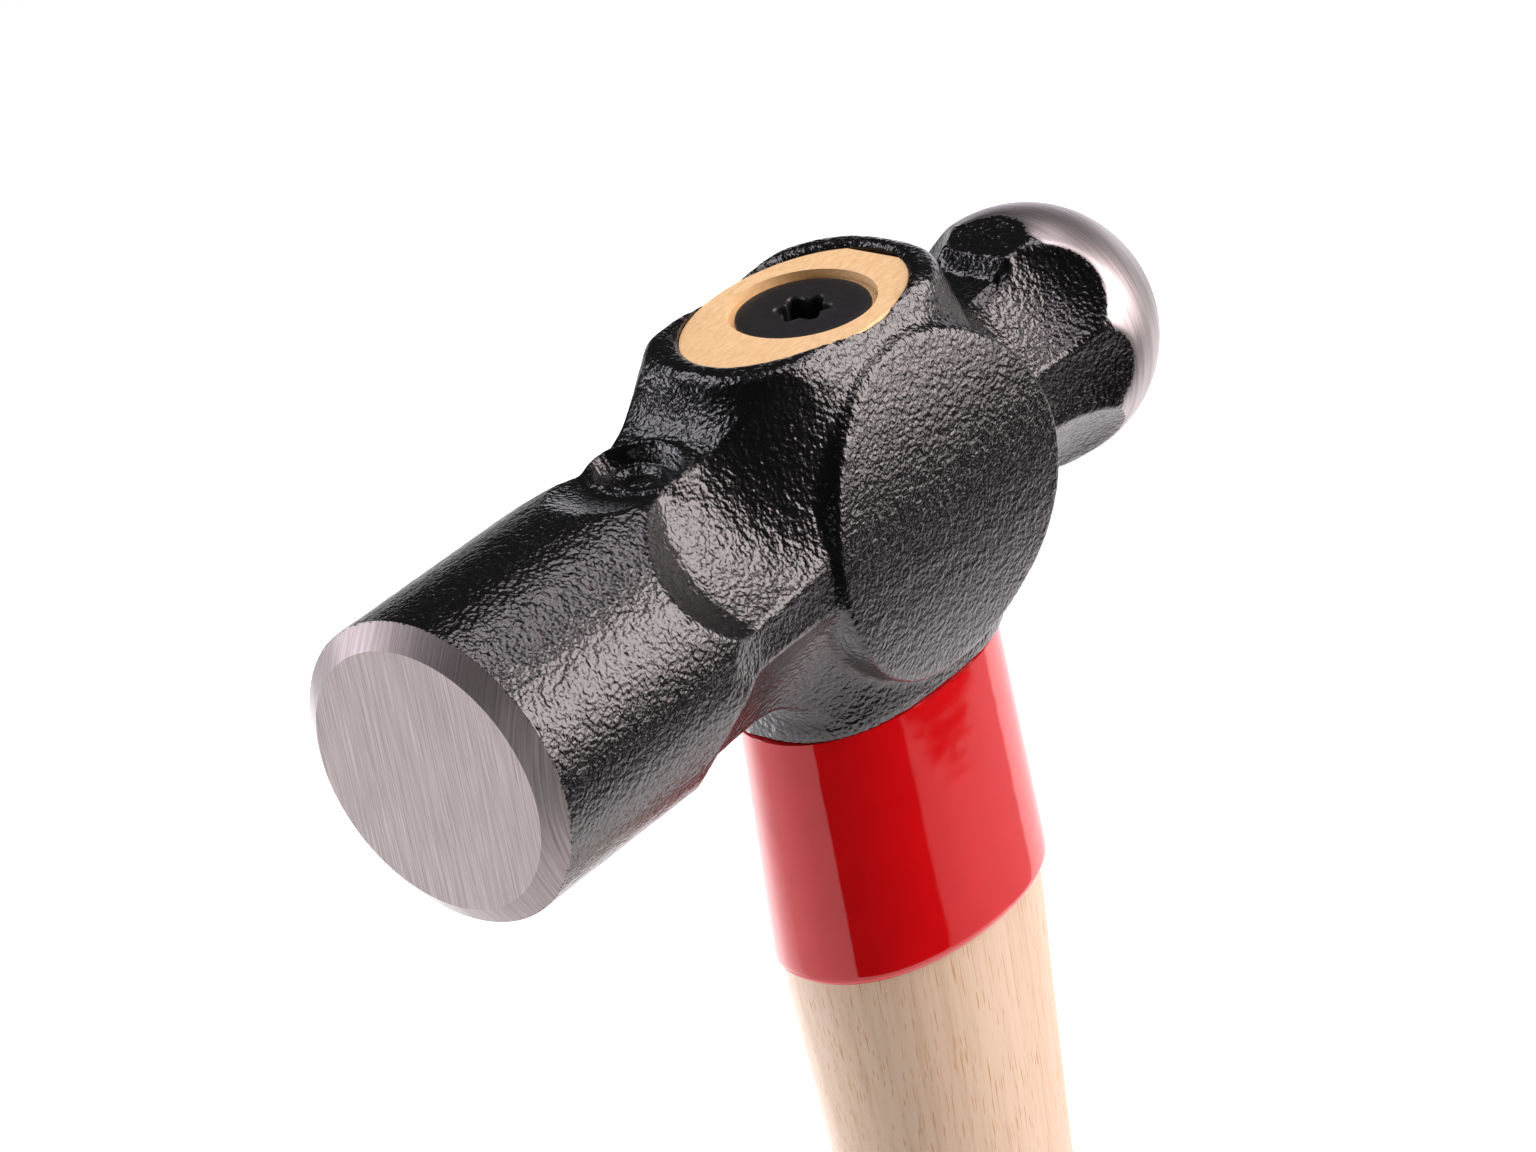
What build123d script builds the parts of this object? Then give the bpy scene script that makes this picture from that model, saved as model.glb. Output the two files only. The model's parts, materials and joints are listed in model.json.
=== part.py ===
"""Ball peen hammer: a forged steel head on an oval hickory handle, with a sheet steel guard
sleeve under the head and a countersunk screw that spreads the wood in the eye.

Frame: the origin is the centre of the flat butt end of the handle. +Z runs up the handle to the
head, +X points to the striking face and +Y to one cheek. All sizes are in millimetres.
"""
import os
from math import cos, pi, sin

from build123d import *

# Head, measured from the point where its own axis crosses the handle's axis.
head_height = 338.0          # head axis above the butt end
face_x = 68.0                # striking face
poll_radius = 17.4           # round poll behind the face
face_radius = 14.9           # flat part of the face, inside its bevel
face_bevel = 1.8             # length of the bevel along the poll
ball_x = -36.4               # centre of the ball peen
ball_radius = 15.1

# The eye, an oval hole that is narrowest part-way up, and the boss around it.
eye_x = 1.2                  # the eye sits a little towards the face
eye_top = 22.0
eye_bottom = -23.0
eye_waist = -4.0
lip_height = 0.6             # rounded lip at the eye's top edge
boss_squareness = 2.6        # 2 is an ellipse; more is squarer

# Oval sections as (height, half length, half width, middle along the head).
eye_sections = [(eye_bottom, 15.4, 8.8, 0.0), (eye_waist, 14.2, 8.6, 0.6), (eye_top, 15.15, 10.7, eye_x)]
boss_sections = [
    (eye_bottom, 18.3, 11.6, 0.0),
    (-18.5, 18.6, 12.2, 0.0),
    (-11.0, 19.4, 13.9, 0.0),
    (0.0, 20.0, 14.9, 0.0),
    (11.0, 20.0, 14.0, 0.4),
    (18.0, 18.9, 12.4, 1.0),
    (eye_top - lip_height, 17.7, 12.1, eye_x),
]
lip_section = (eye_top, 17.2, 11.6, eye_x)

# Cheek pads: round discs, proud of the boss, whose faces bulge like a barrel along the head.
cheek_middle = -0.7          # height of a pad's centre
cheek_radius = 19.4
cheek_y = 16.3               # how far a pad stands out where it is fullest
cheek_fullest = -2.5         # height of that line
cheek_barrel = 58.8          # radius of the bulge
cheek_edge = 0.5

# Facets forged into the two necks: how far each lies from the head's axis, as (x, distance).
neck_split = 0.0
front_facets = {
    0.0: [(43.5, 19.0), (40.8, 17.4), (37.0, 16.3), (33.0, 15.7), (28.5, 15.35), (20.0, 15.1)],
    52.4: [
        (43.5, 19.8), (41.3, 17.4), (38.8, 15.0), (36.0, 14.2), (32.0, 13.8), (26.0, 13.6), (20.0, 13.7),
    ],
    90.0: [(43.0, 18.9), (38.8, 17.4), (33.0, 16.0), (28.0, 15.6), (20.0, 15.3)],
}
back_facets = {
    0.0: [(-39.0, 16.6), (-36.4, 15.1), (-33.0, 14.0), (-29.0, 13.0), (-24.7, 12.2), (-18.0, 12.0)],
    46.0: [(-39.0, 16.8), (-36.4, 14.9), (-33.0, 13.2), (-29.0, 12.0), (-24.0, 11.4), (-18.0, 11.4)],
    90.0: [(-39.0, 16.6), (-36.4, 15.1), (-33.0, 13.9), (-29.0, 12.8), (-24.0, 12.2), (-18.0, 12.2)],
}
facet_reach = 26.0           # the cutters reach past the poll on every side

# Stamped oval on top of the poll neck, and the pressed bar on top of the ball neck.
stamp_x = 29.4
stamp_half_length = 3.9
stamp_half_width = 5.3
stamp_floor = 14.5
bar_x = -28.6
bar_length = 2.4
bar_width = 10.5
bar_top = 13.9

# Wedge screw.
screw_x = -0.2
screw_top = 20.8             # top of its head, measured like the head's own heights
screw_head_radius = 7.5
screw_head_edge = 0.6        # straight rim of the head
screw_head_depth = 4.4
screw_core_radius = 2.9
screw_thread_radius = 4.0
screw_pitch = 4.0
screw_threads = 9
thread_start = 3.0           # plain neck between the head and the first thread
thread_rise = 0.35           # where a thread's crest starts and ends and its flank meets the core
thread_crest = 0.45          # again, as shares of the pitch
thread_fall = 0.8
screw_length = 50.0
socket_outer_radius = 3.3    # six-lobed drive socket
socket_lobe_radius = 0.75
socket_flute_radius = 1.35
socket_flute_offset = 0.35   # the flutes' centres lie this far outside the lobes
socket_depth = 3.2

# Handle.
wood_top = 21.4              # end grain, just under the lip of the eye
pocket_radius = 8.3          # cut for the screw's head
pocket_floor = 20.3
tenon_root = eye_bottom
sleeve_bottom = -54.0
handle_squareness = 2.15
sleeve_seat = [(sleeve_bottom, 18.2, 12.0, 0.0), (tenon_root, 17.2, 10.5, 0.0)]
grip_sections = [
    (-332.0, 18.2, 14.6, 0.0),
    (-318.0, 18.9, 15.3, 0.0),
    (-290.0, 17.9, 14.6, 0.0),
    (-240.0, 16.3, 13.6, 0.0),
    (-190.0, 15.2, 12.6, 0.0),
    (-140.0, 14.2, 11.0, 0.0),
    (-100.0, 15.2, 10.9, 0.0),
    (-72.0, 17.0, 11.6, 0.0),
]
butt_section = (-head_height, 14.6, 11.4, 0.0)

# Guard sleeve.
sleeve_wall = 1.1
sleeve_roll = 1.0            # height over which the bottom edge is rolled in
sleeve_lip = 0.4             # what is left of the wall at the very edge

cutter = 60.0                # cutters reach past what they cut by about this much
oval_points = 24             # points that carry each oval's curve


def oval(section, squareness):
    """Face inside |x/a|^n + |y/b|^n = 1 at the section's height above the head's axis."""
    height, half_length, half_width, middle = section
    points = []
    for step in range(oval_points):
        turn = 2 * pi * step / oval_points
        across = abs(cos(turn)) ** (2 / squareness) * (1 if cos(turn) >= 0 else -1)
        along = abs(sin(turn)) ** (2 / squareness) * (1 if sin(turn) >= 0 else -1)
        points.append((middle + half_length * across, half_width * along, head_height + height))
    return Face(Wire([Spline(*points, periodic=True)]))


def ellipse(section):
    """Elliptical face at the section's height above the head's axis."""
    height, half_length, half_width, middle = section
    return Plane((middle, 0, head_height + height)) * Ellipse(half_length, half_width)


def facet_cut(profile, turn):
    """Solid outside one facet: the profile carried across the facet, turned about the head's axis."""
    points = [(x, 0, distance) for x, distance in profile]
    curve = Spline(*points)
    inner_end = (neck_split, 0, profile[-1][1])
    top_end = (neck_split, 0, facet_reach)
    top_start = (profile[0][0], 0, facet_reach)
    rim = Polyline(points[-1], inner_end, top_end, top_start, points[0])
    face = Face(Wire([curve] + rim.edges()))
    prism = extrude(face, amount=facet_reach, dir=(0, 1, 0), both=True)
    return Pos(0, 0, head_height) * (Rot(turn, 0, 0) * prism)


def turned_core():
    """Poll, necks and ball as one turned bar, before its facets are forged."""
    outline = Polyline(
        (ball_x, ball_radius),
        (neck_split, poll_radius),
        (face_x - face_bevel, poll_radius),
        (face_x, face_radius),
        (face_x, 0),
        (ball_x - ball_radius, 0),
    )
    dome = CenterArc((ball_x, 0, 0), ball_radius, 90, 90)
    section = Face(Wire(outline.edges() + dome.edges()))
    return Pos(0, 0, head_height) * revolve(section, Axis.X)


def facet_turns(angle):
    """Angles about the head's axis of the facets that mirror each other."""
    return sorted({angle, -angle, 180 - angle, angle - 180} - {-180.0})


def cheek_pad():
    """Both round cheek pads, as one bar through the boss whose ends bulge like a barrel."""
    middle = (0, -facet_reach, head_height + cheek_middle)
    plane = Plane(middle, x_dir=(1, 0, 0), z_dir=(0, 1, 0))
    bar = extrude(plane * Circle(cheek_radius), amount=2 * facet_reach)
    for side in (-1, 1):
        centre_y = side * (cheek_y - cheek_barrel)
        barrel = Rot(0, 90, 0) * Cylinder(cheek_barrel, 3 * facet_reach)
        bar &= Pos(0, centre_y, head_height + cheek_fullest) * barrel
    rims = bar.edges().filter_by(lambda edge: abs(edge.center().Y) > eye_sections[-1][2])
    return chamfer(rims, cheek_edge)


def eye_plug():
    """The wood-shaped plug of the eye, narrowest at its waist."""
    lower, waist, upper = [ellipse(section) for section in eye_sections]
    return loft([lower, waist], ruled=True) + loft([waist, upper], ruled=True)


def hammer_head():
    """One forging: striking poll, faceted necks, eye with cheek pads, and ball peen."""
    core = turned_core()
    for facets in (front_facets, back_facets):
        for angle, profile in facets.items():
            for turn in facet_turns(angle):
                core -= facet_cut(profile, turn)
    boss = loft([oval(section, boss_squareness) for section in boss_sections])
    lip = loft([oval(section, boss_squareness) for section in (boss_sections[-1], lip_section)], ruled=True)
    head = core + boss + lip + cheek_pad()
    stamp = Pos(stamp_x, 0, head_height + stamp_floor) * Ellipse(stamp_half_length, stamp_half_width)
    head -= extrude(stamp, amount=facet_reach)
    bar = Box(bar_length, bar_width, bar_top, align=(Align.CENTER, Align.CENTER, Align.MIN))
    head += Pos(bar_x, 0, head_height) * bar
    return head - eye_plug()


def drive_socket():
    """Six-lobed socket: a round core with six lobes added and six flutes left between them."""
    lobe_place = socket_outer_radius - socket_lobe_radius
    socket = Circle(lobe_place)
    for index in range(6):
        turn = index * pi / 3
        socket += Pos(lobe_place * cos(turn), lobe_place * sin(turn)) * Circle(socket_lobe_radius)
    for index in range(6):
        turn = (index + 0.5) * pi / 3
        reach = socket_outer_radius + socket_flute_offset
        socket -= Pos(reach * cos(turn), reach * sin(turn)) * Circle(socket_flute_radius)
    return extrude(socket, amount=-socket_depth)


def wedge_screw():
    """Countersunk screw with a coarse thread, drawn as one ridge per turn."""
    rim = -screw_head_edge
    neck = -screw_head_depth
    points = [(0, 0), (screw_head_radius, 0), (screw_head_radius, rim), (screw_core_radius, neck)]
    for index in range(screw_threads):
        start = neck - thread_start - index * screw_pitch
        points.append((screw_core_radius, start))
        points.append((screw_thread_radius, start - thread_rise * screw_pitch))
        points.append((screw_thread_radius, start - thread_crest * screw_pitch))
        points.append((screw_core_radius, start - thread_fall * screw_pitch))
    points.append((0, -screw_length))
    outline = Polyline(*[(radius, 0, height) for radius, height in points], close=True)
    body = revolve(Face(Wire(outline.edges())), Axis.Z)
    screw = body - drive_socket()
    return Pos(screw_x, 0, head_height + screw_top) * screw


def seat_section(height, grow=0.0):
    """Oval of the handle under the sleeve at one height, grown outwards."""
    low, high = sleeve_seat
    share = (height - low[0]) / (high[0] - low[0])
    half_length = low[1] + share * (high[1] - low[1])
    half_width = low[2] + share * (high[2] - low[2])
    return oval((height, half_length + grow, half_width + grow, 0.0), handle_squareness)


def seat(bottom, top, grow_bottom=0.0, grow_top=0.0):
    """Straight-sided piece of the seat between two heights."""
    return loft([seat_section(bottom, grow_bottom), seat_section(top, grow_top)], ruled=True)


def guard_sleeve():
    """Thin oval steel sleeve, pushed up against the head, with its bottom edge rolled in."""
    roll_top = sleeve_bottom + sleeve_roll
    wall = seat(roll_top, tenon_root, sleeve_wall, sleeve_wall)
    roll = seat(sleeve_bottom, roll_top, sleeve_lip, sleeve_wall)
    return wall + roll - seat(sleeve_bottom, tenon_root)


def screw_envelope():
    """The wedge screw with its socket filled, as the wood sees it."""
    down = (Align.CENTER, Align.CENTER, Align.MAX)
    plug = Cylinder(socket_outer_radius + socket_flute_offset, socket_depth, align=down)
    return wedge_screw() + Pos(screw_x, 0, head_height + screw_top) * plug


def handle():
    """Hickory handle: tenon in the eye, seat under the sleeve, slim neck, swelling grip, flared butt."""
    up = (Align.CENTER, Align.CENTER, Align.MIN)
    above_eye = Pos(0, 0, head_height + wood_top) * Box(cutter, cutter, cutter, align=up)
    tenon = eye_plug() - above_eye
    grip = loft([oval(section, handle_squareness) for section in grip_sections + [sleeve_seat[0]]])
    butt_ends = [oval(section, handle_squareness) for section in (butt_section, grip_sections[0])]
    butt = loft(butt_ends, ruled=True)
    pocket = Pos(screw_x, 0, head_height + pocket_floor) * Cylinder(pocket_radius, cutter, align=up)
    stick = grip + butt + seat(sleeve_bottom, tenon_root) + tenon
    return stick - pocket - screw_envelope()


def main():
    """Write one STEP file per piece."""
    os.makedirs("parts", exist_ok=True)
    pieces = {
        "hammer_head": hammer_head(),
        "handle": handle(),
        "guard_sleeve": guard_sleeve(),
        "wedge_screw": wedge_screw(),
    }
    for name, shape in pieces.items():
        export_step(shape, "parts/" + name + ".step")
        print(name, round(shape.volume, 1), shape.bounding_box())


main()
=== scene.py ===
"""Ball peen hammer: the visible pieces, materials, light and camera around its CAD frame.

Shapes are worked out in millimetres from the point where the head's own axis crosses the handle's
axis: x runs to the striking face, y to one cheek and z up. Meshes and the scene are in metres, in
the CAD model's frame, whose origin is the flat butt end of the handle.
"""
import json
from math import cos, pi, radians, sin

import bpy
import numpy as np
from mathutils import Matrix, Vector


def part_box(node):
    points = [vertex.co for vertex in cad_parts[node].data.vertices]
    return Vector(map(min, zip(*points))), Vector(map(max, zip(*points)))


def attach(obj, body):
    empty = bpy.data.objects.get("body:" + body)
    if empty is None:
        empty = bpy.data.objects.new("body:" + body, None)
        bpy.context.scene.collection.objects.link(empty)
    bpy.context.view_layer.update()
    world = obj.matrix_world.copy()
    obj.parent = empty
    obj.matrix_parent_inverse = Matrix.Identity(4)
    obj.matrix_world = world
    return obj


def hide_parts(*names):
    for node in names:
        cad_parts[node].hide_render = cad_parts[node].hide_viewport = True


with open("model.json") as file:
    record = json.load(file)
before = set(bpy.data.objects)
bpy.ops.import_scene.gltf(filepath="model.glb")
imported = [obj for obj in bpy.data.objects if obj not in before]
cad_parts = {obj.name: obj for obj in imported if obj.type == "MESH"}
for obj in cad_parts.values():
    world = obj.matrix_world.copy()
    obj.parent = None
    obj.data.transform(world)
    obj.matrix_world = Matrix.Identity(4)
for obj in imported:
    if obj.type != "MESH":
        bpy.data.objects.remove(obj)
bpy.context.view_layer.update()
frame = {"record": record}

MM = 0.001
mounts = {mount["name"]: mount for mount in frame["record"]["mounts"]}

# ---------------------------------------------------------------- sizes, in millimetres
head_low, head_high = (np.array(corner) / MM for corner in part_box("hammer_head"))
handle_low, handle_high = (np.array(corner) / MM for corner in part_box("handle"))
screw_low, screw_high = (np.array(corner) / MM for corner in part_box("wedge_screw"))
sleeve_low = np.array(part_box("guard_sleeve")[0]) / MM

head_height = mounts["striking_face"]["pos_m"][2] / MM
butt = handle_low[2] - head_height
face_x = head_high[0]
poll_radius = head_high[1]
face_radius = 14.9           # flat part of the face, inside its bevel
face_bevel = 1.8             # length of the bevel along the poll
ball_radius = 15.1
ball_x = head_low[0] + ball_radius
ball_ground = 2.2            # the ball is ground bright from this far ahead of its middle
eye_top = head_high[2] - head_height
eye_bottom = head_low[2] - head_height
wood_top = handle_high[2] - head_height
screw_top = screw_high[2] - head_height
screw_x = (screw_low[0] + screw_high[0]) / 2
screw_length = screw_high[2] - screw_low[2]
sleeve_bottom = sleeve_low[2] - head_height

# Facets forged into the necks: angle from the top (or bottom) of the head, and how far the facet
# lies from the head's axis, as (x, distance) points along the neck.
front_facets = {
    0.0: [(14.0, 15.0), (20.0, 15.05), (28.5, 15.3), (33.0, 15.6), (35.6, 15.8), (37.6, 16.2),
          (39.6, 16.8), (41.3, 17.4), (44.0, 18.6)],
    52.4: [(14.0, 13.4), (20.0, 13.3), (26.0, 13.2), (32.0, 13.3), (36.0, 13.65), (38.4, 14.7),
           (42.3, 17.4), (44.5, 19.0)],
    90.0: [(14.0, 15.2), (20.0, 15.3), (28.0, 15.6), (33.0, 16.0), (38.8, 17.4), (43.0, 18.9)],
}
back_facets = {
    0.0: [(-39.0, 16.9), (-36.4, 15.1), (-33.0, 13.9), (-29.0, 13.0), (-24.7, 12.2), (-14.0, 12.0)],
    46.0: [(-39.0, 17.0), (-36.4, 14.9), (-33.0, 13.0), (-29.0, 11.8), (-24.0, 11.2), (-14.0, 11.2)],
    90.0: [(-39.0, 16.9), (-36.4, 15.1), (-33.0, 13.8), (-29.0, 12.7), (-24.0, 12.1), (-14.0, 12.1)],
}
front_hollow = 0.011         # each facet dips in its middle by this times the square of the width
back_hollow = 0.005
facet_bow = 0.03             # and its ends are bowed by this times the square of the width
ridge_round = 0.45           # rounding of the ridges between facets, and between them and the bar

# Oval stamp on top of the front neck: its place along the head, half length and half width.
stamp_x = 29.4
stamp_length = 3.9
stamp_width = 5.3

# Sunken panel on top of the back neck: its crest, the top of its slope and its front end along the
# head, and its half width.
panel_crest = -30.0
panel_slope = -29.6
panel_front = -21.0
panel_width = 4.6

# Boss around the eye, as (height, half length, half width, middle along the head).
boss_sections = [
    (eye_bottom, 18.3, 11.6, 0.0),
    (-18.5, 18.6, 12.2, 0.0),
    (-11.0, 19.4, 13.8, 0.0),
    (0.0, 20.0, 14.8, 0.0),
    (11.0, 20.0, 13.9, 0.4),
    (18.0, 18.9, 12.3, 1.0),
    (eye_top, 17.5, 11.9, 1.2),
]
boss_squareness = 2.6
front_fillet = 8.2           # where the boss flows into the front neck, with more above than below
fillet_change = 2.3
back_fillet = 4.5
lip_round = 1.3              # rounding of the boss's outer rim
lip_width = 0.7              # the rim starts to dip this far outside the eye
lip_dip = 0.5                # and is this much lower at the eye
foot_round = 0.8
eye_sections = [(eye_bottom, 15.4, 8.8, 0.0), (-4.0, 14.2, 8.6, 0.6), (eye_top, 15.15, 10.7, 1.2)]

# Cheek pads: round discs whose faces bulge like a barrel.
pad_x = -0.3
pad_middle = -0.7
pad_radius = 19.4
pad_stand = 16.3
pad_fullest = -2.5
pad_barrel = 58.8
pad_step = 0.7               # the pads stand at least this far out of the forging
pad_reach = 22.0             # out to here along the head
pad_round = 0.7
pad_fillet = 1.1

# Handle and sleeve, as (height, half length, half width, middle along the head).
eye_squareness = 2.0
handle_squareness = 2.15
sleeve_seat = [(sleeve_bottom, 18.2, 12.0, 0.0), (eye_bottom, 17.2, 10.5, 0.0)]
sleeve_wall = 1.1
roll_radius = 1.3            # the sleeve's bottom edge is rolled in on this radius
roll_share = 0.62            # by this share of it
fit_gap = 0.02               # the wood lies this far inside its nominal outline, the sleeve outside
grip_sections = [
    (butt, 14.6, 11.4, 0.0),
    (-337.2, 16.2, 12.8, 0.0),
    (-332.0, 18.2, 14.6, 0.0),
    (-318.0, 18.9, 15.3, 0.0),
    (-290.0, 17.9, 14.6, 0.0),
    (-240.0, 16.3, 13.6, 0.0),
    (-190.0, 15.2, 12.6, 0.0),
    (-140.0, 14.2, 11.0, 0.0),
    (-100.0, 15.2, 10.9, 0.0),
    (-72.0, 17.0, 11.6, 0.0),
] + sleeve_seat
chip_bottom = 17.5           # the tenon's top is chipped flat here, at the end towards the ball
chip_depth = 0.9
end_grain = 3.0              # the end grain's colour starts this far below the eye's top

# Hole for the screw, as (radius, height) down its pocket, its countersink and its bore.
pocket_radius = 8.3
pocket_floor = 20.3
bore_radius = 2.9
bore_bottom = -26.0
screw_hole = [(pocket_radius, 20.9), (8.25, pocket_floor), (7.5, pocket_floor), (7.4, 20.0),
              (bore_radius, 16.4), (bore_radius, bore_bottom)]

# Wedge screw, as (size, height above the top of its head).
socket_depth = 3.2
socket_profile = [(1.6, -socket_depth), (3.0, -3.1), (3.08, -3.0), (3.2, -0.35), (3.26, -0.1),
                  (3.42, 0.04), (3.6, 0.02), (3.8, 0.0)]
core_radius = 2.9
head_profile = [(4.6, 0.0), (6.0, 0.0), (7.1, 0.0), (7.42, -0.1), (7.5, -0.3), (7.5, -0.6),
                (2.95, -4.3), (core_radius, -7.0)]
thread_start = -7.3
thread_end = -46.0
thread_step = -0.4
thread_pitch = 4.0
thread_height = 1.1
thread_share = 0.22          # half the thread's width at its root, as a share of the pitch
tip_profile = [(2.6, -46.5), (1.6, -48.5), (0.6, -49.8)]


# ---------------------------------------------------------------- curves and sections
def through(x, knots):
    """Smooth curve through (place, value) knots: cubic pieces whose slope at a knot is the mean of
    the slopes on its two sides. Beyond the last knots it stays level."""
    places, values = np.array(sorted(knots), float).T
    slopes = np.gradient(values, places)
    span = np.clip(np.searchsorted(places, x) - 1, 0, len(places) - 2)
    width = places[span + 1] - places[span]
    t = np.clip((x - places[span]) / width, 0, 1)
    start, end = values[span], values[span + 1]
    rise = end - start
    leave = slopes[span] * width
    arrive = slopes[span + 1] * width
    bend = 3 * rise - 2 * leave - arrive
    twist = leave + arrive - 2 * rise
    return start + t * leave + t ** 2 * bend + t ** 3 * twist


def straight(x, knots):
    """Straight lines from one (place, value) knot to the next."""
    places, values = np.array(sorted(knots), float).T
    return np.interp(x, places, values)


def section(height, sections, curve):
    """Half length, half width and middle of the oval at a height, each on a curve through the
    listed sections."""
    heights, *columns = zip(*sections)
    return [curve(height, list(zip(heights, column))) for column in columns]


def soft_min(a, b, reach):
    """The smaller of two distances, with the crease between them filled in over a given reach."""
    share = np.clip(0.5 + 0.5 * (b - a) / reach, 0, 1)
    return b * (1 - share) + a * share - reach * share * (1 - share)


def soft_max(a, b, reach):
    """The larger of two distances, with the edge between them rounded off over a given reach."""
    return -soft_min(-a, -b, reach)


def fade(past, reach):
    """One well before a border, none well past it, and half of one on it."""
    return 1 / (1 + np.exp(past / reach))


def skin(points, size, seed, waves=48):
    """Even random roughness: plane waves of about one length and all directions, added up."""
    rng = np.random.default_rng(seed)
    way = rng.normal(size=(waves, 3))
    way /= np.linalg.norm(way, axis=1)[:, None]
    way *= (2 * pi / size) * rng.uniform(0.75, 1.3, waves)[:, None]
    shift = rng.uniform(0, 2 * pi, waves)
    total = np.zeros(points.shape[:-1])
    for direction, phase in zip(way, shift):
        total += np.sin(points @ direction + phase)
    return total * np.sqrt(2 / waves)


def circle(count, way=1):
    """Even steps round a full turn, one way or the other."""
    return way * np.arange(count) * 2 * pi / count


def oval(turn, half_length, half_width, squareness):
    """x and y of the closed curve |x/a|^n + |y/b|^n = 1 at each turn."""
    across, along = np.cos(turn), np.sin(turn)
    reach = (np.abs(across) ** squareness + np.abs(along) ** squareness) ** (-1 / squareness)
    return half_length * across * reach, half_width * along * reach


def level_ring(x, y, height):
    """Row of points at one height."""
    return np.stack([x, y, np.full(x.shape, height)], axis=-1)


def spaced(*stretches):
    """Places along a line: each stretch is (start, end, spacing); stretches follow each other."""
    places = [np.array([stretches[0][0]])]
    for start, end, spacing in stretches:
        count = max(1, round(abs(end - start) / spacing))
        places.append(np.linspace(start, end, count + 1)[1:])
    return np.concatenate(places)


# ---------------------------------------------------------------- mesh helpers
def grid_normals(points):
    """Unit normals of a grid that closes on itself along its second direction."""
    along = np.gradient(points, axis=0)
    wrapped = np.concatenate([points[:, -1:], points, points[:, :1]], axis=1)
    around = (wrapped[:, 2:] - wrapped[:, :-2]) / 2
    normal = np.cross(around, along)
    return normal / np.maximum(np.linalg.norm(normal, axis=-1), 1e-9)[..., None]


def new_object(name, places, faces):
    """Mesh object from points in millimetres above the floor, linked to the scene."""
    mesh = bpy.data.meshes.new(name)
    mesh.from_pydata((np.asarray(places) * MM).tolist(), [], faces)
    mesh.update()
    made = bpy.data.objects.new(name, mesh)
    bpy.context.scene.collection.objects.link(made)
    return made


def smooth(mesh):
    """Shades every face of a mesh smoothly."""
    mesh.polygons.foreach_set("use_smooth", np.ones(len(mesh.polygons), bool))
    mesh.update()


def closed_grid(name, points, first_pole, last_pole):
    """Mesh object from rows of points that close on themselves, with a fan to a pole at each end.
    Rows run so that the faces, taken in this order, look outwards."""
    rows, columns = points.shape[:2]
    index = np.arange(rows * columns).reshape(rows, columns)
    after = np.roll(index, -1, axis=1)
    quads = np.stack([index[:-1], after[:-1], after[1:], index[1:]], axis=-1).reshape(-1, 4)
    first, last = rows * columns, rows * columns + 1
    start_fan = np.stack([np.full(columns, first), after[0], index[0]], axis=-1)
    end_fan = np.stack([np.full(columns, last), index[-1], after[-1]], axis=-1)
    places = np.concatenate([points.reshape(-1, 3), [first_pole], [last_pole]])
    faces = quads.tolist() + start_fan.tolist() + end_fan.tolist()
    piece = new_object(name, places + [0, 0, head_height], faces)
    smooth(piece.data)
    return piece


def ring_grid(name, points):
    """Mesh object from rows of points that close on themselves both ways, such as a sleeve."""
    index = np.arange(points.shape[0] * points.shape[1]).reshape(points.shape[:2])
    after = np.roll(index, -1, axis=1)
    below = np.roll(index, -1, axis=0)
    corner = np.roll(after, -1, axis=0)
    quads = np.stack([index, after, corner, below], axis=-1).reshape(-1, 4)
    piece = new_object(name, points.reshape(-1, 3) + [0, 0, head_height], quads.tolist())
    smooth(piece.data)
    return piece


# ---------------------------------------------------------------- the head
def pad_height(z):
    """How far a cheek pad stands out at each height."""
    return pad_stand - pad_barrel + np.sqrt(np.maximum(pad_barrel ** 2 - (z - pad_fullest) ** 2, 1))


def neck_facets(x, y, z, facets, hollow):
    """Distance outside the nearest facet of a neck; the facets mirror each other in y and z."""
    result = None
    for angle, knots in facets.items():
        lean = radians(angle)
        out = np.abs(y) * sin(lean) + np.abs(z) * cos(lean)
        across = np.abs(y) * cos(lean) - np.abs(z) * sin(lean)
        bowed = x + np.sign(x) * facet_bow * across ** 2
        distance = out - through(bowed, knots) - hollow * across ** 2
        result = distance if result is None else soft_max(result, distance, ridge_round)
    return result


def ball_and_poll(x, y, z):
    """Distance outside the turned bar: the round poll in front, the ball behind."""
    radius = np.hypot(y, z)
    behind = np.minimum(x - ball_x, 0)
    ball = np.hypot(behind, radius) - ball_radius
    return np.where(x > 0, radius - poll_radius, ball)


def forged_neck(x, y, z):
    """Distance outside the faceted necks."""
    front = neck_facets(x, y, z, front_facets, front_hollow)
    back = neck_facets(x, y, z, back_facets, back_hollow)
    return np.where(x > 0, front, back)


def boss(x, y, z):
    """Distance outside the boss around the eye: an oval column with a rounded lip."""
    half_length, half_width, middle = section(z, boss_sections, through)
    along = np.abs((x - middle) / half_length) ** boss_squareness
    across = np.abs(y / half_width) ** boss_squareness
    side = ((along + across) ** (1 / boss_squareness) - 1) * (half_length + half_width) / 2
    eye_length, eye_width, eye_x = eye_sections[-1][1:]
    from_eye = (np.hypot((x - eye_x) / eye_length, y / eye_width) - 1) * eye_width
    dip = lip_dip * np.clip((lip_width - from_eye) / lip_width, 0, 1.7) ** 2
    column = soft_max(side, z - eye_top + dip, lip_round)
    return soft_max(column, eye_bottom - z, foot_round)


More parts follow.
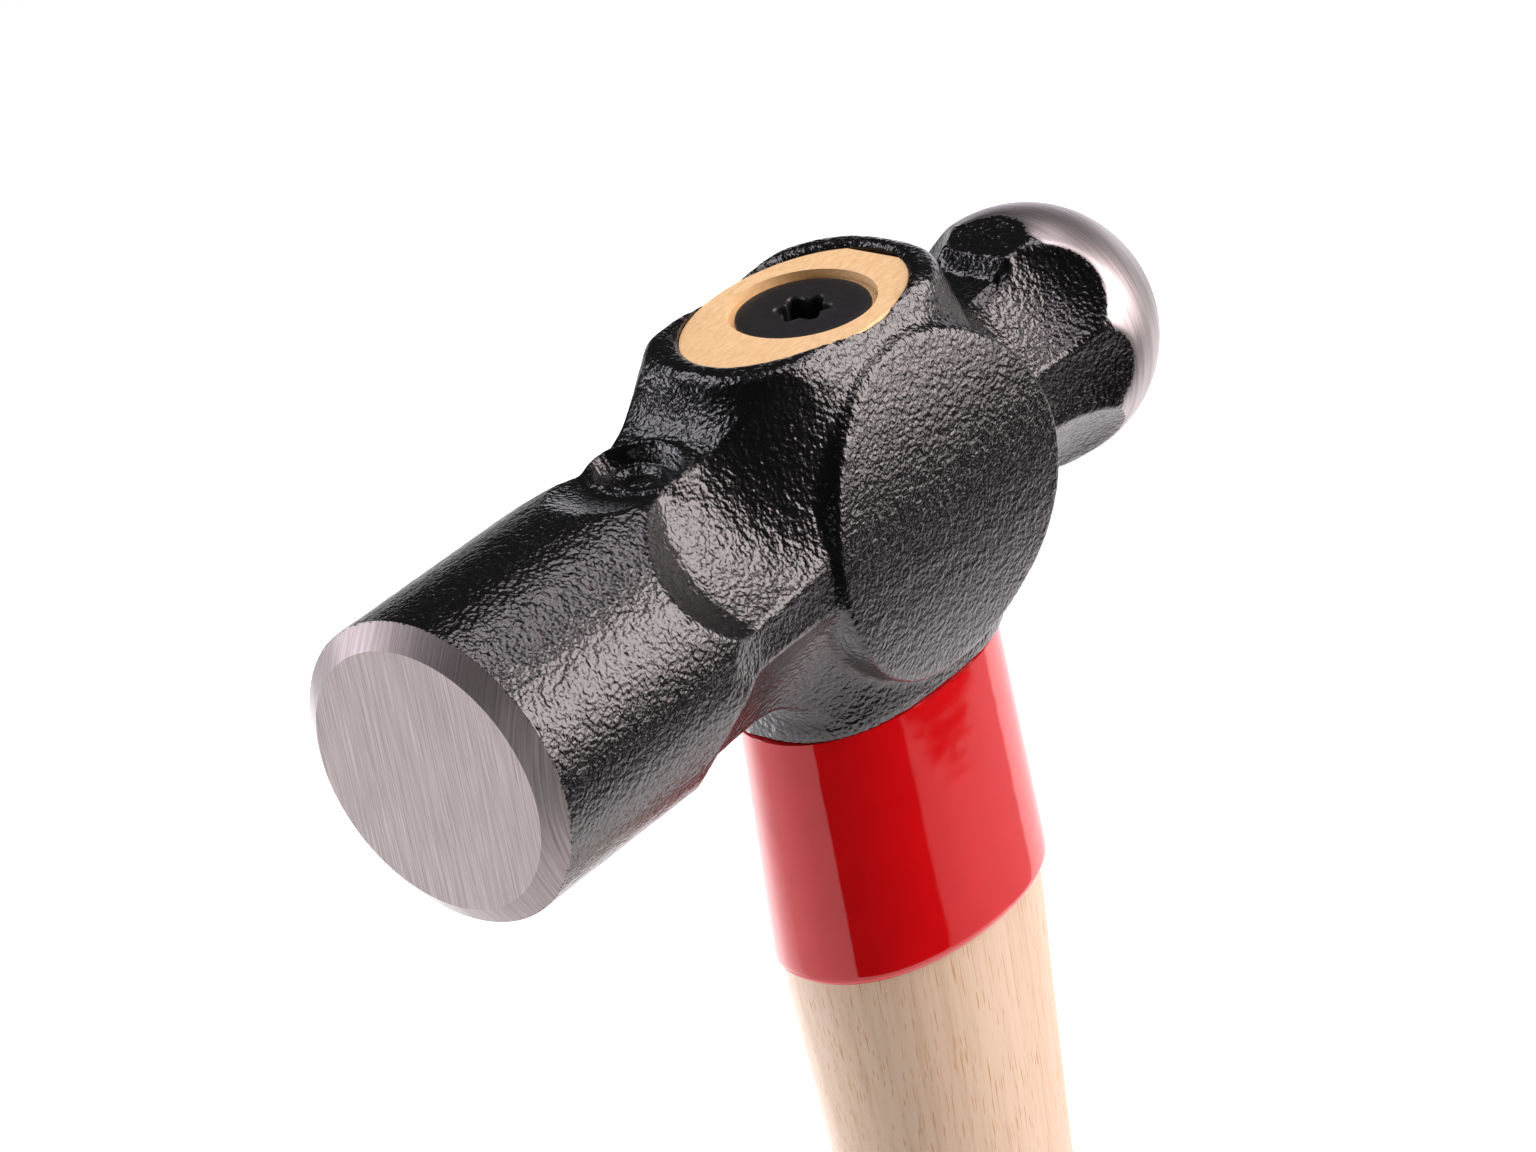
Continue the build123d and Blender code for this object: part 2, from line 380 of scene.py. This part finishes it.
def stamp(x, y, z):
    """Height of the oval stamp on the top facet of the front neck: a raised rim round a sunken floor,
    with one plain ring and a round middle standing up from the floor."""
    reach = np.hypot((x - stamp_x) / stamp_length, y / stamp_width)
    rim = np.exp(-((reach - 1.1) / 0.13) ** 2)
    floor = fade(reach - 0.95, 0.03)
    ring = np.exp(-((reach - 0.6) / 0.12) ** 2)
    middle = fade(reach - 0.22, 0.04)
    return np.where(z > 0, 0.45 * rim - 0.85 * floor + 0.4 * ring + 0.3 * middle, 0)


def panel(x, y, z):
    """Height of the panel on the top facet of the neck behind the eye: a low crest, then a slope that
    faces the eye and runs down to the panel's sunken floor."""
    inside = fade(np.abs(y) - panel_width, 0.2)
    crest = np.exp(-((x - panel_crest) / 0.7) ** 2)
    slope = np.clip((x - panel_slope) / 1.4, 0, 1)
    ahead = fade(x - panel_front, 0.4)
    return np.where(z > 0, inside * (0.3 * crest - 1.5 * slope * ahead), 0)


def forging(x, y, z):
    """Distance outside the whole forging, negative inside."""
    neck = soft_max(ball_and_poll(x, y, z), forged_neck(x, y, z) - panel(x, y, z), ridge_round)
    fillet = np.where(x > 0, front_fillet + fillet_change * np.tanh(z / 6), back_fillet)
    body = soft_min(neck, boss(x, y, z), fillet)
    clear = np.maximum(np.abs(x) - pad_reach, 0)
    body = soft_max(body, np.abs(y) - pad_height(z) + pad_step - clear, 0.6)
    body -= stamp(x, y, z)
    disc = np.hypot(x - pad_x, z - pad_middle) - pad_radius
    pad = soft_max(disc, np.abs(y) - pad_height(z), pad_round)
    return soft_min(body, pad, pad_fillet)


def forging_radius(x, turn):
    """Distance from the head's axis to its skin: the first crossing found coming inwards along each
    ray, then halved until it is known to less than a thousandth of a millimetre."""
    sine, cosine = np.sin(turn), np.cos(turn)
    outermost, step = 30.0, 0.6

    def depth(radius):
        return forging(x, radius * sine, radius * cosine)

    outside = np.full(x.shape, outermost)
    inside = np.zeros(x.shape)
    found = np.zeros(x.shape, bool)
    for radius in np.arange(outermost - step, 0, -step):
        hit = ~found & (depth(np.full(x.shape, radius)) < 0)
        inside[hit] = radius
        outside[hit] = radius + step
        found |= hit
    for halving in range(12):
        middle = (inside + outside) / 2
        solid = depth(middle) < 0
        inside = np.where(solid, middle, inside)
        outside = np.where(solid, outside, middle)
    return (inside + outside) / 2


def ground_margin(points):
    """How far a point of the head's skin lies inside the ground areas, in millimetres: past the
    bevel's edge at the face, or on the ball clear of the neck's facets. Negative on painted skin."""
    x, y, z = points[..., 0], points[..., 1], points[..., 2]
    face = x - (face_x - face_bevel)
    ball = ball_and_poll(x, y, z) - forged_neck(x, y, z)
    ball = np.where(x < ball_x + 3, np.minimum(ball, ball_x + ball_ground - x), -5)
    return np.clip(np.maximum(face, ball), -5, 5)


def head_forging():
    """The head: rings of points round its axis from the face to the ball, each at the distance of the
    forging's skin, roughened where it is painted, with the eye cut through. The rings are closest
    over the stamp and on the necks."""
    turn = circle(320)
    places = spaced(
        (face_x - face_bevel, 44, 0.9), (44, 33, 0.3), (33, 22, 0.2), (22, 13, 0.25),
        (13, -13, 0.65), (-13, -22, 0.25), (-22, -38, 0.33))
    sweep = np.linspace(np.arccos(1.6 / ball_radius), 0, 25)[:-1]
    places = np.concatenate([places, ball_x - ball_radius * np.cos(sweep)])
    x, turns = np.meshgrid(places, turn, indexing="ij")
    radius = forging_radius(x, turns)
    points = np.stack([x, radius * np.sin(turns), radius * np.cos(turns)], axis=-1)
    painted = fade(ground_margin(points) + 0.5, 0.15)
    rough = 0.010 * skin(points, 3.2, 11) + 0.006 * skin(points, 1.6, 12)
    points = points + grid_normals(points) * (painted * rough)[..., None]

    flat_rings = [(face_radius * share, face_x) for share in (0.12, 0.5, 0.9, 1)]
    bevel_rings = [(face_radius + share * (poll_radius - face_radius), face_x - share * face_bevel)
                   for share in (0.33, 0.67)]
    face_rings = [
        np.stack([np.full(turn.shape, place), reach * np.sin(turn), reach * np.cos(turn)], axis=-1)
        for reach, place in flat_rings + bevel_rings]
    points = np.concatenate([np.array(face_rings), points])
    piece = closed_grid("head_forging", points, (face_x, 0, 0), (ball_x - ball_radius, 0, 0))
    cut_eye(piece)
    return piece


def eye_plug():
    """Closed oval plug, narrowest part-way up, that stands a little past both ends of the eye."""
    turn = circle(160, -1)
    heights = np.array([eye_top + 2, eye_top, eye_sections[1][0], eye_bottom, eye_bottom - 2])
    rows = []
    for height in heights:
        half_length, half_width, middle = section(height, eye_sections, straight)
        x, y = oval(turn, half_length, half_width, eye_squareness)
        rows.append(level_ring(middle + x, y, height))
    return closed_grid("eye_plug", np.array(rows), (0, 0, heights[0]), (0, 0, heights[-1]))


def cut_eye(piece):
    """Cuts the eye through the head, then marks sharp edges and the ground areas on what is left."""
    plug = eye_plug()
    cut = piece.modifiers.new("eye", "BOOLEAN")
    cut.operation = "DIFFERENCE"
    cut.solver = "EXACT"
    cut.object = plug
    shown = piece.evaluated_get(bpy.context.evaluated_depsgraph_get())
    mesh = bpy.data.meshes.new_from_object(shown)
    piece.modifiers.clear()
    piece.data = mesh
    mesh.name = "head_forging"
    bpy.data.objects.remove(plug)
    smooth(mesh)
    mesh.set_sharp_from_angle(angle=radians(33))
    places = np.empty(len(mesh.vertices) * 3)
    mesh.vertices.foreach_get("co", places)
    margin = ground_margin(places.reshape(-1, 3) / MM - [0, 0, head_height])
    layer = mesh.attributes.new("ground", "FLOAT", "POINT")
    layer.data.foreach_set("value", margin.astype(np.float32))


# ---------------------------------------------------------------- handle, sleeve and screw
def handle_stick():
    """Oval sections from the butt to the tenon's tip, then the end grain, the pocket for the screw's
    head, its countersink and its bore, as one skin."""
    turn = circle(200, -1)
    heights = spaced(
        (wood_top, eye_bottom, 1.5), (eye_bottom, -140, 1.2), (-140, -332, 3.0), (-332, butt, 0.5))
    outer = []
    for height in heights:
        if height > eye_bottom + 0.01:
            half_length, half_width, middle = section(height, eye_sections, straight)
            squareness = eye_squareness
        else:
            half_length, half_width, middle = section(height, grip_sections, through)
            squareness = handle_squareness
        x, y = oval(turn, half_length - fit_gap, half_width - fit_gap, squareness)
        if height > chip_bottom:
            x = np.maximum(x, chip_depth - half_length)
        outer.append(level_ring(middle + x, y, height))
    top_x, top_y = outer[0][:, 0], outer[0][:, 1]
    inner = []
    for share in np.linspace(0.985, 0, 14):
        x = share * top_x + (1 - share) * (screw_x + pocket_radius * np.cos(turn))
        y = share * top_y + (1 - share) * (pocket_radius * np.sin(turn))
        inner.append(level_ring(x, y, wood_top))
    outer[0][:, 2] = wood_top - 0.2
    for radius, height in screw_hole:
        inner.append(level_ring(screw_x + radius * np.cos(turn), radius * np.sin(turn), height))
    rows = np.array(inner[::-1] + outer)
    piece = closed_grid("handle_stick", rows, (screw_x, 0, bore_bottom), (0, 0, butt))
    piece.data.set_sharp_from_angle(angle=radians(40))
    return piece


def sleeve():
    """Section of the sleeve's wall, with its bottom edge rolled in, carried round the oval seat."""
    turn = circle(256)
    wall_heights = np.linspace(eye_bottom - 0.25, sleeve_bottom + roll_radius, 24)
    outside = [(sleeve_wall, height) for height in wall_heights]
    edge = [(sleeve_wall - roll_radius * (1 - cos(lean)) * roll_share,
             sleeve_bottom + roll_radius * (1 - sin(lean))) for lean in np.linspace(0, pi / 2, 7)[1:]]
    inside = [(fit_gap, height) for height in np.linspace(sleeve_bottom + 0.9, eye_bottom, 6)]
    top = [(0.3, eye_bottom), (0.75, eye_bottom)]
    rows = []
    for grow, height in outside + edge + inside + top:
        half_length, half_width, middle = section(height, sleeve_seat, straight)
        x, y = oval(turn, half_length + grow, half_width + grow, handle_squareness)
        rows.append(level_ring(middle + x, y, height))
    piece = ring_grid("sleeve", np.array(rows)[::-1])
    piece.data.set_sharp_from_angle(angle=radians(50))
    return piece


def socket_radius(turn, size):
    """Outline of a six-lobed socket: the radius swings between its lobes and its flutes."""
    wave = 0.5 + 0.5 * np.cos(6 * turn)
    return size * (0.72 + 0.28 * wave ** 0.8)


def wedge_screw():
    """Screw: from the socket's floor over the head, down the countersink and the threaded shank. The
    thread is a ridge whose phase runs on by one turn for each pitch."""
    turn = circle(240, -1)
    rows = [(socket_radius(turn, size), height) for size, height in socket_profile]
    rows += [(np.full(turn.shape, radius), height) for radius, height in head_profile]
    for height in np.arange(thread_start, thread_end, thread_step):
        phase = (height / thread_pitch + turn / (2 * pi)) % 1.0
        crest = np.clip(1 - np.abs(phase - 0.5) / thread_share, 0, 1)
        rows.append((core_radius + thread_height * crest, height))
    rows += [(np.full(turn.shape, radius), height) for radius, height in tip_profile]
    points = np.array([
        level_ring(screw_x + radius * np.cos(turn), radius * np.sin(turn), screw_top + height)
        for radius, height in rows])
    piece = closed_grid("wedge_screw_turned", points, (screw_x, 0, screw_top - socket_depth),
                        (screw_x, 0, screw_top - screw_length))
    piece.data.set_sharp_from_angle(angle=radians(35))
    return piece


# ---------------------------------------------------------------- materials
def linear(colour):
    """Linear RGBA from an sRGB hex string such as "B50016"."""
    parts = [int(colour[i:i + 2], 16) / 255 for i in (0, 2, 4)]
    return [p / 12.92 if p <= 0.04045 else ((p + 0.055) / 1.055) ** 2.4 for p in parts] + [1.0]


def add(tree, kind, inputs=(), **settings):
    """Adds one node. Settings are its own properties; inputs maps its input names or numbers to plain
    values or to the sockets that feed them."""
    made = tree.nodes.new("ShaderNode" + kind)
    for name, value in settings.items():
        setattr(made, name, value)
    for name, value in dict(inputs).items():
        if isinstance(value, bpy.types.NodeSocket):
            tree.links.new(value, made.inputs[name])
        else:
            made.inputs[name].default_value = value
    return made


def material(name, paint):
    """New node material; paint(tree, object coordinates) returns the shader socket."""
    made = bpy.data.materials.new(name)
    made.use_nodes = True
    tree = made.node_tree
    tree.nodes.clear()
    place = add(tree, "TexCoord").outputs["Object"]
    add(tree, "OutputMaterial", {"Surface": paint(tree, place)})
    return made


# Sockets of a Mix node: its factor, then its two inputs and its output as colours or as numbers.
FACTOR = 0
COLOUR_A, COLOUR_B, COLOUR_OUT = 6, 7, 2
NUMBER_A, NUMBER_B, NUMBER_OUT = 2, 3, 0


def streaks(tree, place, per_metre, detail, turn=0.0, distortion=0.0):
    """Grain drawn out into streaks, from how many fit in a metre along x, y and z, turned about x."""
    drawn_out = add(tree, "Mapping", {"Vector": place, "Rotation": (turn, 0, 0), "Scale": per_metre},
                    vector_type="POINT").outputs[0]
    return add(tree, "TexNoise", {"Vector": drawn_out, "Scale": 1.0, "Detail": detail,
                                  "Distortion": distortion}).outputs["Fac"]


def head_finish(tree, place):
    """Black stoving lacquer over a shot-blasted forging: glossy, with the blasted skin showing through
    as an orange-peel texture of half a millimetre to a millimetre. The face and the ball are ground
    bright after painting, with fine parallel scratches, and the paint ends there in a ragged edge."""
    margin = add(tree, "Attribute", attribute_name="ground").outputs["Fac"]
    ragged = add(tree, "TexNoise", {"Vector": place, "Scale": 2600.0, "Detail": 2.0}).outputs["Fac"]
    wander = add(tree, "Math", {0: ragged, 1: -0.5}, operation="ADD").outputs[0]
    edge = add(tree, "Math", {0: wander, 1: 0.5, 2: margin}, operation="MULTIPLY_ADD").outputs[0]
    bare = add(tree, "MapRange", {"Value": edge, "From Min": -0.03,
                                  "From Max": 0.05}).outputs["Result"]

    # Blasted skin under the lacquer: dents about 0.5 mm across on swells about 1.1 mm across.
    dents = add(tree, "TexNoise", {"Vector": place, "Scale": 1900.0, "Detail": 1.0,
                                   "Roughness": 0.4}).outputs["Fac"]
    swells = add(tree, "TexNoise", {"Vector": place, "Scale": 900.0, "Detail": 0.0}).outputs["Fac"]
    skin_height = add(tree, "Math", {0: swells, 1: 0.5, 2: dents},
                      operation="MULTIPLY_ADD").outputs[0]
    skin_bump = add(tree, "Bump", {"Height": skin_height, "Strength": 1.0, "Distance": 0.00016})

    # Grinding lines: 0.2 mm apart up and down the face, 0.3 mm apart round the ball. Real ones are
    # finer, and are drawn as coarse as they need to show.
    lines_face = streaks(tree, place, (60, 5200, 110), 3.0, turn=radians(4))
    lines_ball = streaks(tree, place, (3000, 110, 110), 3.0)
    x = add(tree, "SeparateXYZ", {0: place}).outputs[0]
    at_face = add(tree, "MapRange", {"Value": x, "From Min": 0.0,
                                     "From Max": 0.001}).outputs["Result"]
    lines = add(tree, "Mix", {FACTOR: at_face, NUMBER_A: lines_ball, NUMBER_B: lines_face},
                data_type="FLOAT").outputs[NUMBER_OUT]
    line_bump = add(tree, "Bump", {"Height": lines, "Strength": 0.6, "Distance": 0.00004})

    # Bare steel: darker in the grooves than on the crests, as painted shade in the grinding grooves,
    # and a little glossier on the ball.
    shaded_groove = add(tree, "Mix", {FACTOR: at_face, COLOUR_A: linear("5E5859"),
                               COLOUR_B: linear("564F4F")}, data_type="RGBA").outputs[COLOUR_OUT]
    crest = add(tree, "Mix", {FACTOR: at_face, COLOUR_A: linear("BDB6B6"),
                              COLOUR_B: linear("A89F9D")}, data_type="RGBA").outputs[COLOUR_OUT]
    steel = add(tree, "Mix", {FACTOR: lines, COLOUR_A: shaded_groove, COLOUR_B: crest},
                data_type="RGBA").outputs[COLOUR_OUT]
    gloss = add(tree, "MapRange", {"Value": lines, "To Min": 0.5, "To Max": 0.36}).outputs["Result"]
    polish = add(tree, "MapRange", {"Value": at_face, "To Min": 0.92,
                                    "To Max": 1.0}).outputs["Result"]
    steel_gloss = add(tree, "Math", {0: gloss, 1: polish}, operation="MULTIPLY").outputs[0]
    metal = add(tree, "BsdfPrincipled", {
        "Base Color": steel, "Metallic": 1.0, "Roughness": steel_gloss,
        "Normal": line_bump.outputs[0]}).outputs[0]
    lacquer = add(tree, "BsdfPrincipled", {
        "Base Color": linear("070708"), "Roughness": 0.22, "IOR": 1.5,
        "Normal": skin_bump.outputs[0]}).outputs[0]
    return add(tree, "MixShader", {0: bare, 1: lacquer, 2: metal}).outputs[0]


def sleeve_finish(tree, place):
    """Gloss red stoving enamel on pressed steel: even colour with the slightest waviness, 4 mm long."""
    ripple = add(tree, "TexNoise", {"Vector": place, "Scale": 240.0, "Detail": 1.0}).outputs["Fac"]
    bump = add(tree, "Bump", {"Height": ripple, "Strength": 0.12, "Distance": 0.0003})
    tone = add(tree, "Mix", {FACTOR: ripple, COLOUR_A: linear("A90004"),
                             COLOUR_B: linear("B70208")}, data_type="RGBA").outputs[COLOUR_OUT]
    return add(tree, "BsdfPrincipled", {
        "Base Color": tone, "Roughness": 0.08, "IOR": 1.5, "Normal": bump.outputs[0]}).outputs[0]


def wood_finish(tree, place):
    """Pale sanded hickory under thin lacquer: faint growth bands along the stick, short tan pore
    dashes, and yellower end grain at the top of the tenon."""
    # Growth bands about 6 mm apart, with finer brown threads between them.
    bands = streaks(tree, place, (160, 160, 6), 3.0, distortion=0.4)
    body = add(tree, "Mix", {FACTOR: bands, COLOUR_A: linear("B2977C"),
                             COLOUR_B: linear("CDB79F")}, data_type="RGBA").outputs[COLOUR_OUT]
    threads = streaks(tree, place, (1500, 1500, 20), 2.0)
    thread_strength = add(tree, "MapRange", {"Value": threads, "From Min": 0.45, "From Max": 0.75,
                                             "To Max": 0.3}).outputs["Result"]
    threaded = add(tree, "Mix", {FACTOR: thread_strength, COLOUR_A: body,
                                 COLOUR_B: linear("9A7450")}, data_type="RGBA").outputs[COLOUR_OUT]

    # Pores: dashes 0.2 mm wide and 6 mm long.
    dashes = streaks(tree, place, (5000, 5000, 165), 1.0)
    pores = add(tree, "MapRange", {"Value": dashes, "From Min": 0.635,
                                   "From Max": 0.7}).outputs["Result"]
    marked = add(tree, "Mix", {FACTOR: pores, COLOUR_A: threaded, COLOUR_B: linear("A67E54")},
                 data_type="RGBA").outputs[COLOUR_OUT]

    # End grain: specks about 1.1 mm by 0.4 mm.
    specks = streaks(tree, place, (900, 2600, 2600), 2.0)
    end = add(tree, "Mix", {FACTOR: specks, COLOUR_A: linear("D2A972"),
                            COLOUR_B: linear("FBDAA8")}, data_type="RGBA").outputs[COLOUR_OUT]
    height = add(tree, "SeparateXYZ", {0: place}).outputs[2]
    cut = (head_height + eye_top - end_grain) * MM
    at_end = add(tree, "MapRange", {"Value": height, "From Min": cut,
                                    "From Max": cut + 0.0001}).outputs["Result"]
    colour = add(tree, "Mix", {FACTOR: at_end, COLOUR_A: marked, COLOUR_B: end},
                 data_type="RGBA").outputs[COLOUR_OUT]
    bump = add(tree, "Bump", {"Height": dashes, "Strength": 0.2, "Distance": 0.0001})
    return add(tree, "BsdfPrincipled", {
        "Base Color": colour, "Roughness": 0.48, "IOR": 1.5, "Normal": bump.outputs[0]}).outputs[0]


def screw_finish(tree, place):
    """Black phosphated steel: near black, matt, with a faint grain of 0.7 mm."""
    grain = add(tree, "TexNoise", {"Vector": place, "Scale": 1500.0, "Detail": 2.0}).outputs["Fac"]
    bump = add(tree, "Bump", {"Height": grain, "Strength": 0.25, "Distance": 0.0001})
    gloss = add(tree, "MapRange", {"Value": grain, "To Min": 0.38, "To Max": 0.55}).outputs["Result"]
    return add(tree, "BsdfPrincipled", {
        "Base Color": linear("101012"), "Roughness": gloss, "IOR": 1.5,
        "Normal": bump.outputs[0]}).outputs[0]


def floor_finish(tree, place):
    """Plain pale studio floor, lit evenly enough to show no edge."""
    return add(tree, "BsdfPrincipled", {
        "Base Color": linear("F4F4F4"), "Roughness": 0.8, "Emission Color": linear("FFFFFF"),
        "Emission Strength": 0.6}).outputs[0]


def card_finish(tree, place):
    """Black studio cloth: no shine, so that it leaves a plain dark area in a gloss surface."""
    return add(tree, "BsdfPrincipled", {"Base Color": linear("060606"), "Roughness": 0.9}).outputs[0]


def glowing_paper_finish(tree, place):
    """White paper glowing by its own emission, painted light that stands in for a lamp and fades
    towards the front of the set.
    """
    x = add(tree, "SeparateXYZ", {0: place}).outputs[0]
    # Painted light: the glow is strongest at the back of the set and fades towards the front.
    glow = add(tree, "MapRange", {"Value": x, "From Min": 0.12, "From Max": 0.42,
                                  "To Min": 3.0, "To Max": 0.6}).outputs["Result"]
    return add(tree, "BsdfPrincipled", {
        "Base Color": linear("F4F4F4"), "Roughness": 0.9, "Emission Color": linear("FFFFFF"),
        "Emission Strength": glow}).outputs[0]


def mat_finish(tree, place):
    """Grey studio felt: a soft middle grey with no shine."""
    return add(tree, "BsdfPrincipled", {"Base Color": linear("B8B8B8"), "Roughness": 0.9}).outputs[0]


# ---------------------------------------------------------------- pieces
def dress(piece, finish, node):
    """Gives a piece its material, hides the CAD node it stands for, and lets it ride on the one body.
    """
    piece.data.materials.clear()
    piece.data.materials.append(finish)
    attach(piece, "root")
    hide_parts(node)


lacquered_forging = material("black_lacquered_forging_with_ground_ends", head_finish)
red_enamel = material("red_stoving_enamel", sleeve_finish)
hickory = material("sanded_hickory", wood_finish)
black_phosphate = material("black_phosphated_steel", screw_finish)

dress(head_forging(), lacquered_forging, "hammer_head")
dress(handle_stick(), hickory, "handle")
dress(sleeve(), red_enamel, "guard_sleeve")
dress(wedge_screw(), black_phosphate, "wedge_screw")


# ---------------------------------------------------------------- floor, light and camera
def studio_floor():
    """Square pale floor under the butt end, wide enough to fill the view."""
    half = 6000
    corners = [(-half, -half, 0), (half, -half, 0), (half, half, 0), (-half, half, 0)]
    floor = new_object("studio_floor", corners, [(0, 1, 2, 3)])
    floor.data.materials.append(material("pale_studio_floor", floor_finish))


def from_head(azimuth, elevation, distance):
    """Point at a direction and distance in millimetres from the head's centre. Azimuth 0 is ahead of
    the striking face and 90 is out from the near cheek."""
    turn, rise = radians(azimuth), radians(elevation)
    way = Vector((cos(rise) * cos(turn), cos(rise) * sin(turn), sin(rise)))
    return Vector((0, 0, head_height * MM)) + way * distance * MM


def soft_box(name, place, size, power, colour="FFFFFF"):
    """Rectangular soft light aimed at the head. Its place is (azimuth, elevation, distance), and its
    size is its width and height in millimetres."""
    lamp = bpy.data.lights.new(name, "AREA")
    lamp.shape = "RECTANGLE"
    lamp.size, lamp.size_y = size[0] * MM, size[1] * MM
    lamp.energy = power
    lamp.color = linear(colour)[:3]
    light = bpy.data.objects.new(name, lamp)
    light.location = from_head(*place)
    aim = Vector((0, 0, head_height * MM)) - light.location
    light.rotation_euler = aim.to_track_quat("-Z", "Y").to_euler()
    light.visible_camera = False
    bpy.context.scene.collection.objects.link(light)


def only_reflected(prop):
    """Hides a prop of the set from everything but reflections."""
    prop.visible_camera = False
    prop.visible_shadow = False
    prop.visible_diffuse = False


def black_card(name, azimuth, distance, width, low, high):
    """Upright black card, square to one azimuth, from one height above the floor to another."""
    turn = radians(azimuth)
    middle = np.array([cos(turn), sin(turn)]) * distance
    side = np.array([-sin(turn), cos(turn)]) * width / 2
    outline = ((-1, low), (1, low), (1, high), (-1, high))
    corners = [(*(middle + sign * side), height) for sign, height in outline]
    card = new_object(name, corners, [(0, 1, 2, 3)])
    card.data.materials.append(material(name + "_cloth", card_finish))
    only_reflected(card)


def floor_mat(name, azimuths, reaches, finish):
    """Flat mat just above the floor, between two azimuths and two distances from the handle."""
    turn = np.radians(np.linspace(*azimuths, 13))
    ring = np.stack([np.cos(turn), np.sin(turn), np.zeros(13)], axis=-1)
    near, far = (ring * reach + [0, 0, 4] for reach in reaches)
    corners = np.concatenate([near, far[::-1]])
    mat = new_object(name, corners, [tuple(range(len(corners)))])
    mat.data.materials.append(finish)
    only_reflected(mat)


def studio_camera():
    """Camera above and in front of the near cheek, looking down at the head, a little rolled."""
    place = Vector((393.9, 358.8, 268.0 + head_height)) * MM
    yaw, pitch, roll = radians(223.29), radians(-27.57), radians(-10.85)
    ahead = Vector((cos(pitch) * cos(yaw), cos(pitch) * sin(yaw), sin(pitch)))
    right = ahead.cross(Vector((0, 0, 1))).normalized()
    up = right.cross(ahead)
    side = cos(roll) * right + sin(roll) * up
    top = -sin(roll) * right + cos(roll) * up
    data = bpy.data.cameras.new("studio_camera")
    data.sensor_width = 36.0
    data.lens = 128.25
    data.clip_start, data.clip_end = 0.01, 50.0
    camera = bpy.data.objects.new("studio_camera", data)
    turn = Matrix((side, top, -ahead)).transposed()
    camera.matrix_world = Matrix.Translation(place) @ turn.to_4x4()
    bpy.context.scene.collection.objects.link(camera)
    bpy.context.scene.camera = camera


def studio_world():
    """Pale backdrop that gives hardly any light, so that the black lacquer keeps its depth."""
    world = bpy.data.worlds.new("dim_studio")
    world.use_nodes = True
    tree = world.node_tree
    seen = add(tree, "LightPath").outputs["Is Camera Ray"]
    strength = add(tree, "MapRange", {"Value": seen, "To Min": 0.05, "To Max": 0.9}).outputs["Result"]
    tree.nodes["Background"].inputs["Color"].default_value = linear("FFFFFF")
    tree.links.new(strength, tree.nodes["Background"].inputs["Strength"])
    bpy.context.scene.world = world


studio_floor()
studio_world()
studio_camera()
soft_box("right_panel", (133, 21, 1000), (600, 640), 13, "FFF1F0")
soft_box("right_skirt", (134, -5, 1000), (600, 200), 1.5, "FFF1F0")
soft_box("top_panel", (160, 62, 1100), (800, 500), 7, "FFF3F9")
soft_box("left_strip", (-40, 2, 1000), (520, 330), 3.2, "FBF3FF")
soft_box("back_wash", (-72, 52, 1100), (500, 400), 4, "FAF5FF")
soft_box("left_wall", (-66, 10, 1000), (480, 440), 3.6, "FAF5FF")
soft_box("front_fill", (12, 4, 1000), (500, 400), 0.6)
soft_box("far_wall", (-156, -3, 1000), (800, 350), 1.3, "FAF6FF")
black_card("right_card", 131, 560, 620, 40, head_height - 92)
floor_mat("right_mat", (92, 164), (385, 700), material("grey_felt", mat_finish))
floor_mat("left_mat", (-118, -44), (330, 900), material("glowing_white_paper", glowing_paper_finish))
black_card("front_card", 66, 330, 540, 10, head_height - 5)
bpy.context.scene.view_settings.view_transform = "Standard"
